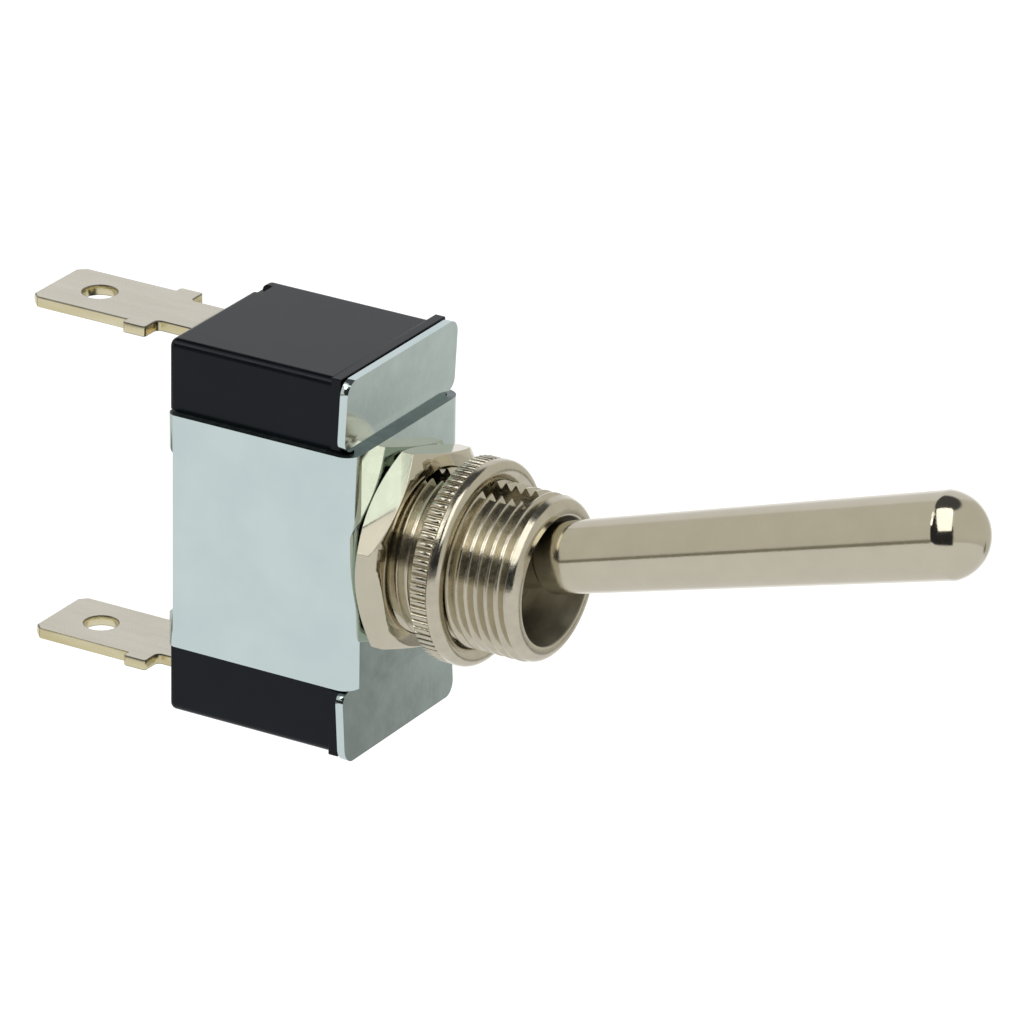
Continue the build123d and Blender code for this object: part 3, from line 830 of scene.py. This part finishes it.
def make_world():
    """The studio: a white backdrop, grey walls over a pale table, and the dark side of the room."""
    world = bpy.data.worlds.new("studio")
    bpy.context.scene.world = world
    world.use_nodes = True
    tree = world.node_tree
    place = tree.nodes.new("ShaderNodeTexCoord")

    def along(axis):
        """How far a direction points along an axis, from -1 to 1."""
        node = tree.nodes.new("ShaderNodeVectorMath")
        node.operation = "DOT_PRODUCT"
        node.inputs[1].default_value = axis
        tree.links.new(place.outputs["Generated"], node.inputs[0])
        return node.outputs["Value"]

    def between(value, edge):
        """A soft step from 0 at the edge's first level to 1 at its second."""
        node = tree.nodes.new("ShaderNodeMapRange")
        node.interpolation_type = "SMOOTHSTEP"
        node.inputs["From Min"].default_value = edge[0]
        node.inputs["From Max"].default_value = edge[1]
        tree.links.new(value, node.inputs["Value"])
        return node.outputs["Result"]

    def combine(first, second, operation="MULTIPLY"):
        """Work two values into one."""
        node = tree.nodes.new("ShaderNodeMath")
        node.operation = operation
        for value, socket in zip((first, second), node.inputs):
            tree.links.new(value, socket)
        return node.outputs["Value"]

    def blend(factor, first, second):
        """Blend two colours."""
        node = tree.nodes.new("ShaderNodeMix")
        node.data_type = "RGBA"
        tree.links.new(factor, node.inputs["Factor"])
        for colour, socket in ((first, node.inputs["A"]), (second, node.inputs["B"])):
            if isinstance(colour, tuple):
                socket.default_value = (*colour, 1)
            else:
                tree.links.new(colour, socket)
        return node.outputs["Result"]

    right, up, toward = camera_axes()

    # Grey walls over the pale table
    height = along(up)
    walls = blend(between(height, WALL_RISE), WALL_FOOT, WALL)
    room = blend(between(height, TABLE_BACK), TABLE, walls)

    # The switch's own shade on the table, low at its right
    low_right = (right - up).normalized()
    shade = combine(between(along(low_right), SHADE_BAND), between(height, SHADE_HEIGHT))
    shade = combine(shade, between(along(-toward), SHADE_DEPTH))
    room = blend(shade, room, TABLE_SHADE)

    # The dim line along the table's left edge, and the pale wall above the backdrop
    line = combine(between(along(-up), LINE_FOOT), between(height, LINE_TOP))
    room = blend(combine(line, between(along(-right), LINE_LEFT)), room, TABLE_LINE)
    high_back = (up - toward).normalized()
    room = blend(between(along(high_back), HIGH_BACK_RIM), room, HIGH_BACK)

    # The unlit side, where the photographer stood, and the dark ceiling
    left_side = right * cos(DARK_LEFT) + toward * sin(DARK_LEFT)
    right_side = toward * sin(DARK_RIGHT) - right * cos(DARK_RIGHT)
    above = up * cos(DARK_FOOT) + toward * sin(DARK_FOOT)
    dark = combine(between(along(left_side), DARK_SIDE_RIM), between(along(right_side), DARK_SIDE_RIM))
    dark = combine(dark, between(along(above), DARK_FOOT_RIM))
    room = blend(dark, room, DARK)
    room = blend(between(height, CEILING_RIM), room, DARK_CEILING)

    # The backdrop
    room = blend(between(along(-toward), BACKDROP_RIM), room, BACKDROP)

    # Plain light for the diffuse side of every finish
    path = tree.nodes.new("ShaderNodeLightPath")
    seen = combine(path.outputs["Is Camera Ray"], path.outputs["Is Glossy Ray"], "MAXIMUM")
    seen = combine(seen, path.outputs["Is Transmission Ray"], "MAXIMUM")
    background = tree.nodes["Background"]
    tree.links.new(blend(seen, PLAIN_LIGHT, room), background.inputs["Color"])
    background.inputs["Strength"].default_value = 1.0


make_camera()
make_world()
make_lamp("left_soft_box", azimuth=-54, elevation=32, width=12, height=18, level=2.4)
make_lamp("high_left_box", azimuth=-58, elevation=48, width=22, height=13, level=1.05)
make_lamp("front_soft_box", azimuth=-3, elevation=41, width=36, height=60, level=1.8)
make_floor()

dress(make_stem(), "stem_bushing", "switch_body", thread_nickel)
dress(make_lever(), "lever", "toggle", nickel)
dress(make_face_nut(), "knurled_nut", "face_nut", thread_nickel)
dress(dressed_copy("hex_nut", "hexagon_nut", 0.05), "hex_nut", "back_nut", nickel)
dress(make_strap(), "bracket", "switch_body", zinc)
dress(
    dressed_copy("mounting_plate", "plate", 0.05), "mounting_plate", "switch_body", zinc
)
dress(dressed_copy("housing", "case", 0.08, 3), "housing", "switch_body", black)
dress(make_gasket(), "front_gasket", "switch_body", black_sheet)
for side in ("upper", "lower"):
    blade = make_blade(side + "_terminal", side + "_blade")
    dress(blade, side + "_terminal", "switch_body", tin)

# The coil gets a mesh of its own
spring = dress(make_spring(), "plunger_spring", "toggle", spring_steel)
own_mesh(spring)

# Small pieces inside that keep the solids' own mesh
finish_of = {
    "pivot_pin": spring_steel,
    "plunger": acetal,
    "rocker_contact": brass,
    "moving_contact": silver,
    "fixed_contact": silver,
    "fulcrum": brass,
    "common_bus": brass,
    "upper_rivet": brass,
    "lower_rivet": brass,
}
for node, material in finish_of.items():
    nodes[node].data.materials.clear()
    nodes[node].data.materials.append(material)

bpy.context.scene.view_settings.view_transform = "Standard"
